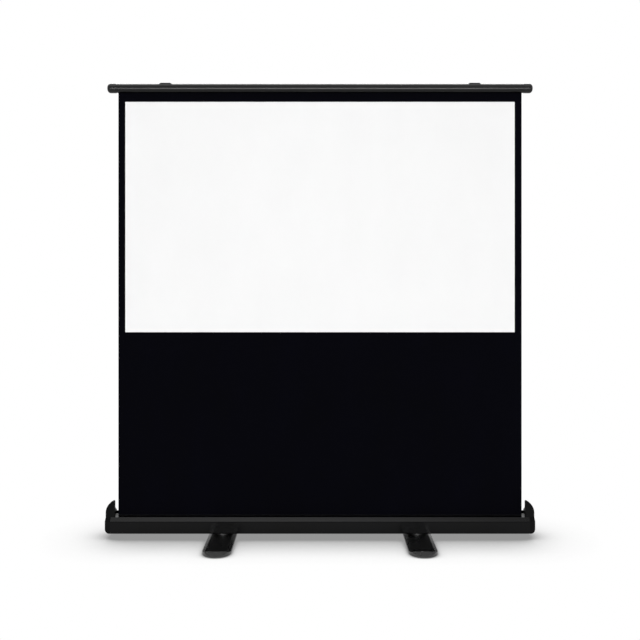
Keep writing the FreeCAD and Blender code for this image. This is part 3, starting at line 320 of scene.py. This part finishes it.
arm_low, arm_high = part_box("upper_arm_left_tube")
ARM_LEAN = math.atan2(arm_high.z - arm_low.z, arm_high.x - arm_low.x)
RISING_FINISH = arm_finish("anodised_arm_rising", ARM_LEAN)
FALLING_FINISH = arm_finish("anodised_arm_falling", -ARM_LEAN)
RISING_ARMS = ("lower_arm_left_tube", "upper_arm_right_tube")
# The photograph shows no pale ring under the case.
DARK_WASHERS = ("swivel_washer_left", "swivel_washer_right")


def finish_of(node):
    if SLOT_OF[node] == "arm_black":
        return RISING_FINISH if node in RISING_ARMS else FALLING_FINISH
    if node in DARK_WASHERS:
        return FINISHES["knuckle_black"]
    return FINISHES[SLOT_OF[node]]


for name in SLOT_OF:
    materials = nodes[name].data.materials
    materials.clear()
    materials.append(finish_of(name))


# Pieces that stand in for a node
def join_lines(made, line, beside):
    """A strip of faces between two lines of points."""
    strip = []
    for step in range(len(line) - 1):
        corners = (line[step], line[step + 1], beside[step + 1], beside[step])
        strip.append(made.faces.new(corners))
    return strip


def join_rings(made, ring, after):
    """A band of faces between two closed rings of points."""
    return join_lines(made, ring + ring[:1], after + after[:1])


def new_piece(name, made):
    """A linked object with the finished mesh, its faces turned outwards."""
    bmesh.ops.recalc_face_normals(made, faces=made.faces)
    mesh = bpy.data.meshes.new(name)
    made.to_mesh(mesh)
    made.free()
    piece = bpy.data.objects.new(name, mesh)
    bpy.context.scene.collection.objects.link(piece)
    return piece


def stand_in(piece, node):
    """Puts the piece in a node's place, on the node's body and in its finish."""
    slot = SLOT_OF[node]
    piece.data.materials.append(FINISHES[slot])
    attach(piece, BODY_OF[node])
    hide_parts(node)


# Cloth
CLOTH_COLUMNS = 60
CLOTH_ROWS = 64
HEM_WIDTH = 9.0 * MM
HEM_RISE = 0.12 * MM
HEM_STEP = 0.4 * MM
# Lets the points on the hem's inner line count as part of it
HEM_SLACK = 1.001


def columns_of(low, high, hem):
    """Even places from low to high, with a pair of close places at each hem's inner line."""
    width = high - low
    places = [low + width * column / CLOTH_COLUMNS for column in range(CLOTH_COLUMNS + 1)]
    if hem:
        places += [low + hem, low + hem + HEM_STEP, high - hem - HEM_STEP, high - hem]
    return sorted(places)


def flat_sheet(name, low, high, hem=0.0):
    """A closed thin sheet on the XZ plane, gridded, with a raised hem along both sides."""
    made = bmesh.new()
    grids = []
    for y, outward in ((low.y, -1.0), (high.y, 1.0)):
        grid = []
        for row in range(CLOTH_ROWS + 1):
            z = low.z + (high.z - low.z) * row / CLOTH_ROWS
            line = []
            for x in columns_of(low.x, high.x, hem):
                inside_hem = min(x - low.x, high.x - x) < hem * HEM_SLACK
                lift = outward * HEM_RISE if inside_hem else 0.0
                line.append(made.verts.new((x, y + lift, z)))
            grid.append(line)
        for line, above in zip(grid, grid[1:]):
            join_lines(made, line, above)
        grids.append(grid)
    front, back = grids
    for end in (0, -1):
        join_lines(made, [line[end] for line in front], [line[end] for line in back])
        join_lines(made, front[end], back[end])
    return new_piece(name, made)


cloth_low, cloth_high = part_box("masking_cloth")
white_low, white_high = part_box("viewing_surface")
cloth = flat_sheet("masking_cloth_sheet", cloth_low, cloth_high, HEM_WIDTH)
white = flat_sheet("viewing_surface_sheet", white_low, white_high)
for sheet, name in ((cloth, "masking_cloth"), (white, "viewing_surface")):
    stand_in(sheet, name)

# Turns of cloth that stay on the roller when the screen is up
WOUND_TURNS = 2.0
WOUND_STEPS = 96
CLOTH_THICKNESS = 0.45 * MM
CLOTH_PITCH = 0.50 * MM


def wound_sheet(name, low, high, radius):
    """A closed thin sheet wound inwards round an axis along X, from the axis's far side."""
    made = bmesh.new()
    axis_y = (low.y + high.y) / 2.0
    axis_z = (low.z + high.z) / 2.0
    rings = []
    for step in range(WOUND_STEPS + 1):
        turn = WOUND_TURNS * step / WOUND_STEPS
        angle = -2.0 * math.pi * turn
        outer = radius - CLOTH_PITCH * turn
        inner = outer - CLOTH_THICKNESS
        ring = []
        for x, reach in ((low.x, outer), (high.x, outer), (high.x, inner), (low.x, inner)):
            y = axis_y + reach * math.cos(angle)
            z = axis_z + reach * math.sin(angle)
            ring.append(made.verts.new((x, y, z)))
        rings.append(ring)
    for ring, after in zip(rings, rings[1:]):
        outside, _, inside, _ = join_rings(made, ring, after)
        outside.smooth = True
        inside.smooth = True
    made.faces.new(rings[0])
    made.faces.new(rings[-1])
    return new_piece(name, made)


wraps_low, wraps_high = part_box("cloth_wraps")
wraps_radius = (wraps_high.z - wraps_low.z) / 2.0
wraps = wound_sheet("cloth_wraps_sheet", wraps_low, wraps_high, wraps_radius)
stand_in(wraps, "cloth_wraps")

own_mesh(cloth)

# The case's box is read here, and the white surface gets a mesh of its own.
case_low, case_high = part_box("case_body")
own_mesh(white)

# Small fasteners and grip
ROUND_SEGMENTS = 32
SHARP_ANGLE = math.radians(30.0)

# Measuring a solid on its points
WELD_DISTANCE = 0.01 * MM
SAME_PLACE = 0.05 * MM
HEAD_REACH = 0.9  # of the largest radius, beyond which a point belongs to a head

# Screw head, in shares
HEAD_RIM = 0.16  # of the head's radius
RIM_CORNER = 0.3  # of the rim
RECESS_ARM = 0.58  # of the head's radius
RECESS_HALF_WIDTH = 0.15  # of the head's radius
RECESS_DEPTH = 0.60  # of the head's height
RECESS_TAPER = 0.72  # of the recess's mouth, at its floor
RECESS_CORNERS = (
    (RECESS_HALF_WIDTH, RECESS_ARM),
    (-RECESS_HALF_WIDTH, RECESS_ARM),
    (-RECESS_HALF_WIDTH, RECESS_HALF_WIDTH),
)
# Each screw of a set stops at its own angle.
RECESS_TURN = 0.7

# Dome of a pin or rivet
DOME_RIM = 0.35  # of the head's height, under the dome
DOME_STEPS = 5
DOME_REACH = math.radians(80.0)

# Grip
GRIP_PITCH = 6.0 * MM
GRIP_GROOVE = 0.7 * MM
GRIP_EDGE = 1.2 * MM
GRIP_PLAIN_END = 8.0 * MM
# Corners of one groove: the share of the pitch, and the depth there
GRIP_CORNERS = ((0.25, 0.0), (0.40, GRIP_GROOVE), (0.60, GRIP_GROOVE), (0.75, 0.0))


def solids_of(node):
    """The points of each separate solid in a node."""
    made = bmesh.new()
    made.from_mesh(nodes[node].data)
    bmesh.ops.remove_doubles(made, verts=made.verts, dist=WELD_DISTANCE)
    seen = set()
    solids = []
    for start in made.verts:
        if start in seen:
            continue
        seen.add(start)
        group = [start]
        for vert in group:
            for edge in vert.link_edges:
                other = edge.other_vert(vert)
                if other not in seen:
                    seen.add(other)
                    group.append(other)
        solids.append([vert.co.copy() for vert in group])
    made.free()
    return solids


class Turned:
    """Sizes of a solid of revolution, measured on its points."""

    def __init__(self, points):
        low = Vector([min(point[i] for point in points) for i in range(3)])
        high = Vector([max(point[i] for point in points) for i in range(3)])
        size = high - low
        self.middle = (low + high) / 2.0
        # The axis is the direction whose other two sizes are the most alike.
        along = min(range(3), key=lambda i: abs(size[i - 1] - size[i - 2]))
        self.half = size[along] / 2.0
        self.direction = Vector([1.0 if i == along else 0.0 for i in range(3)])
        self.places = []
        for point in points:
            place = (point - self.middle).dot(self.direction)
            reach = (point - self.middle - place * self.direction).length
            self.places.append((place, reach))
        self.radius = max(reach for _, reach in self.places)
        self.bore = min(reach for _, reach in self.places)

    def heads(self):
        """Where each head starts and ends along the axis, from the shank outwards."""
        wide = [place for place, reach in self.places if reach > HEAD_REACH * self.radius]
        first = min(wide)
        last = max(wide)
        shank_shows = min(-first, last) < self.half - SAME_PLACE
        if shank_shows:
            return [(first, last) if last > -first else (last, first)]
        below = max(place for place in wide if place < 0.0)
        above = min(place for place in wide if place > 0.0)
        return [(below, first), (above, last)]


def axes_at(centre, direction, turn=0.0):
    """A centre and an axis, with two directions square to the axis and turned about it."""
    side = direction.orthogonal().normalized()
    other = direction.cross(side)
    first = math.cos(turn) * side + math.sin(turn) * other
    return centre, direction, first, direction.cross(first)


def ring_of(made, axes, place, radius):
    """A circle of points round an axis, at one place along it."""
    centre, direction, first, second = axes
    ring = []
    for step in range(ROUND_SEGMENTS):
        angle = 2.0 * math.pi * step / ROUND_SEGMENTS
        around = math.cos(angle) * first + math.sin(angle) * second
        ring.append(made.verts.new(centre + place * direction + radius * around))
    return ring


def turned_rings(made, axes, profile):
    """Rings of points at the places and radii of a profile, each joined to the next."""
    rings = [ring_of(made, axes, place, radius) for place, radius in profile]
    for ring, after in zip(rings, rings[1:]):
        join_rings(made, ring, after)
    return rings


def add_screw(made, points, turn):
    """A screw with a rounded rim and a cross recess, in the place of a plain one."""
    plain = Turned(points)
    [(seat, top)] = plain.heads()
    outward = plain.direction
    if top < 0.0:
        seat, top, outward = -seat, -top, -outward
    axes = axes_at(plain.middle, outward, turn)
    rim = HEAD_RIM * plain.radius
    corner = RIM_CORNER * rim
    profile = [
        (-plain.half, plain.bore),
        (seat, plain.bore),
        (seat, plain.radius),
        (top - rim, plain.radius),
        (top - corner, plain.radius - corner),
        (top, plain.radius - rim),
    ]
    rings = turned_rings(made, axes, profile)
    made.faces.new(rings[0])
    mouth, floor = add_recess(made, axes, top, top - seat, plain.radius)
    join_rings(made, mouth, floor)
    made.faces.new(floor)
    edges = []
    for loop in (rings[-1], mouth):
        edges += [made.edges.get((loop[step - 1], loop[step])) for step in range(len(loop))]
    bmesh.ops.triangle_fill(made, use_beauty=True, edges=edges)


def add_recess(made, axes, top, height, radius):
    """The points of a cross recess at its mouth and at its floor."""
    centre, outward, side, other = axes
    depth = top - RECESS_DEPTH * height
    mouth = []
    floor = []
    for quarter in range(4):
        angle = quarter * math.pi / 2.0
        for across, up in RECESS_CORNERS:
            first = math.cos(angle) * across - math.sin(angle) * up
            second = math.sin(angle) * across + math.cos(angle) * up
            spread = radius * (first * side + second * other)
            mouth.append(made.verts.new(centre + top * outward + spread))
            floor.append(made.verts.new(centre + depth * outward + RECESS_TAPER * spread))
    return mouth, floor


def domed(seat, top, radius):
    """Places and radii of a head with a low dome, from the shank outwards."""
    rim = seat + DOME_RIM * (top - seat)
    profile = [(seat, radius)]
    for step in range(DOME_STEPS + 1):
        angle = DOME_REACH * step / DOME_STEPS
        rise = math.sin(angle) / math.sin(DOME_REACH)
        profile.append((rim + (top - rim) * rise, radius * math.cos(angle)))
    return profile


def add_pin(made, points):
    """A pin or rivet with domed heads, in the place of a plain one."""
    plain = Turned(points)
    axes = axes_at(plain.middle, plain.direction)
    ends = {-1: [(-plain.half, plain.bore)], 1: [(plain.half, plain.bore)]}
    for seat, top in plain.heads():
        ends[1 if top > 0.0 else -1] = [(seat, plain.bore)] + domed(seat, top, plain.radius)
    rings = turned_rings(made, axes, ends[-1][::-1] + ends[1])
    made.faces.new(rings[0])
    made.faces.new(rings[-1])


def add_grip(made, points):
    """A ribbed tube in the place of a plain one."""
    plain = Turned(points)
    axes = axes_at(plain.middle, plain.direction)
    half = plain.half
    radius = plain.radius
    grooves = int(2.0 * (half - GRIP_PLAIN_END) / GRIP_PITCH)
    start = -grooves * GRIP_PITCH / 2.0
    profile = [(-half, plain.bore), (-half, radius - GRIP_EDGE), (-half + GRIP_EDGE, radius)]
    for groove in range(grooves):
        for share, depth in GRIP_CORNERS:
            profile.append((start + (groove + share) * GRIP_PITCH, radius - depth))
    profile += [(half - GRIP_EDGE, radius), (half, radius - GRIP_EDGE), (half, plain.bore)]
    rings = turned_rings(made, axes, profile)
    join_rings(made, rings[-1], rings[0])


def dress(node, made):
    """Puts the finished mesh in the node's place, smooth between its sharp edges."""
    piece = new_piece(f"{node}_dressed", made)
    for polygon in piece.data.polygons:
        polygon.use_smooth = True
    piece.data.set_sharp_from_angle(angle=SHARP_ANGLE)
    stand_in(piece, node)


for name in sorted(nodes):
    detail = bmesh.new()
    if name.endswith("_screws"):
        for number, solid in enumerate(solids_of(name)):
            add_screw(detail, solid, RECESS_TURN * number)
    elif name.endswith("_rivets") or "_pin_" in name:
        for solid in solids_of(name):
            add_pin(detail, solid)
    elif name == "handle_grip":
        for solid in solids_of(name):
            add_grip(detail, solid)
    if detail.verts:
        dress(name, detail)
    else:
        detail.free()


# Stage
def shown_rays(tree):
    """1 on rays that show the stage, from the camera or a reflection, and 0 on the rest."""
    rays = tree.nodes.new("ShaderNodeLightPath")
    shown = rays.outputs["Is Camera Ray"]
    for kind in ("Is Glossy Ray", "Is Transmission Ray"):
        either = tree.nodes.new("ShaderNodeMath")
        either.operation = "MAXIMUM"
        tree.links.new(shown, either.inputs[0])
        tree.links.new(rays.outputs[kind], either.inputs[1])
        shown = either.outputs[0]
    return shown


def stage_floor(size, albedo, reach, closed, shade):
    """A pale floor that bounces light and is seen as white, in the shade of what stands over it.

    The shade is full where the object hides the closed share of the floor's sky.
    """
    mesh = bpy.data.meshes.new("floor")
    half = size / 2.0
    corners = [(-half, -half, 0), (half, -half, 0), (half, half, 0), (-half, half, 0)]
    mesh.from_pydata(corners, [], [(0, 1, 2, 3)])
    floor = bpy.data.objects.new("floor", mesh)
    bpy.context.scene.collection.objects.link(floor)
    material = bpy.data.materials.new("pale_floor")
    material.use_nodes = True
    tree = material.node_tree
    tree.nodes.clear()
    output = tree.nodes.new("ShaderNodeOutputMaterial")
    bounce = tree.nodes.new("ShaderNodeBsdfDiffuse")
    bounce.inputs["Color"].default_value = (albedo, albedo, albedo, 1.0)
    openness = tree.nodes.new("ShaderNodeAmbientOcclusion")
    openness.inputs["Distance"].default_value = reach
    shadow = tree.nodes.new("ShaderNodeMapRange")
    shadow.inputs["From Min"].default_value = 1.0 - closed
    shadow.inputs["From Max"].default_value = 1.0
    shadow.inputs["To Min"].default_value = shade
    shadow.inputs["To Max"].default_value = 1.0
    seen = tree.nodes.new("ShaderNodeEmission")
    mix = tree.nodes.new("ShaderNodeMixShader")
    tree.links.new(openness.outputs["AO"], shadow.inputs["Value"])
    tree.links.new(shadow.outputs[0], seen.inputs["Strength"])
    tree.links.new(shown_rays(tree), mix.inputs[0])
    tree.links.new(bounce.outputs[0], mix.inputs[1])
    tree.links.new(seen.outputs[0], mix.inputs[2])
    tree.links.new(mix.outputs[0], output.inputs["Surface"])
    mesh.materials.append(material)


def stage_world(fill):
    """White wherever it is seen, and a plain soft fill as light on the object and the floor."""
    world = bpy.data.worlds.new("studio")
    bpy.context.scene.world = world
    world.use_nodes = True
    tree = world.node_tree
    background = tree.nodes["Background"]
    background.inputs["Color"].default_value = (1.0, 1.0, 1.0, 1.0)
    level = tree.nodes.new("ShaderNodeMapRange")
    level.inputs["To Min"].default_value = fill
    level.inputs["To Max"].default_value = 1.0
    tree.links.new(shown_rays(tree), level.inputs["Value"])
    tree.links.new(level.outputs[0], background.inputs["Strength"])


def softbox(name, place, target, size, power):
    """A rectangular lamp at a place, aimed at a target, that the camera doesn't see."""
    lamp = bpy.data.lights.new(name, "AREA")
    lamp.shape = "RECTANGLE"
    lamp.size, lamp.size_y = size
    lamp.energy = power
    holder = bpy.data.objects.new(name, lamp)
    holder.location = place
    aim = Vector(target) - Vector(place)
    holder.rotation_euler = aim.to_track_quat("-Z", "Y").to_euler()
    holder.visible_camera = False
    bpy.context.scene.collection.objects.link(holder)


stage_floor(size=60.0, albedo=0.85, reach=0.30, closed=0.5, shade=0.30)
stage_world(fill=0.2)

# The main light, far in front so that it falls evenly on the white surface
softbox(
    "front_box",
    place=(0.0, -11.0, 0.75),
    target=(0.0, 0.0, 1.15),
    size=(7.7, 1.3),
    power=768.0,
)
# A low strip that draws the line of light along the round bar
softbox(
    "low_strip",
    place=(0.0, -2.4, 0.35),
    target=(0.0, 0.0, 1.2),
    size=(3.4, 0.3),
    power=8.0,
)
# A high strip that shows in the chamfer of the case
softbox(
    "top_strip",
    place=(-0.4, -2.0, 6.1),
    target=(0.0, 0.0, 0.1),
    size=(6.6, 0.8),
    power=50.0,
)
# Light for the arms and the handle behind the cloth
softbox(
    "back_box",
    place=(0.0, 4.6, 3.6),
    target=(0.0, 0.0, 1.0),
    size=(5.0, 2.0),
    power=150.0,
)

# Camera: level, in front of the middle, where the photograph's perspective puts it
CAMERA_DISTANCE = 3.600
CAMERA_HEIGHT = 1.1985
FOCAL_PIXELS = 801.0
FRAME_PIXELS = 640.0
HORIZON_PIXEL = 270.0
SENSOR_WIDTH = 36.0

camera_data = bpy.data.cameras.new("camera")
camera_data.sensor_width = SENSOR_WIDTH
camera_data.lens = FOCAL_PIXELS / FRAME_PIXELS * SENSOR_WIDTH
camera_data.shift_y = (HORIZON_PIXEL - FRAME_PIXELS / 2.0) / FRAME_PIXELS
camera = bpy.data.objects.new("camera", camera_data)
camera.location = (0.0, cloth_low.y - CAMERA_DISTANCE, CAMERA_HEIGHT)
camera.rotation_euler = (math.pi / 2.0, 0.0, 0.0)
bpy.context.scene.collection.objects.link(camera)
bpy.context.scene.camera = camera
bpy.context.scene.view_settings.view_transform = "Standard"
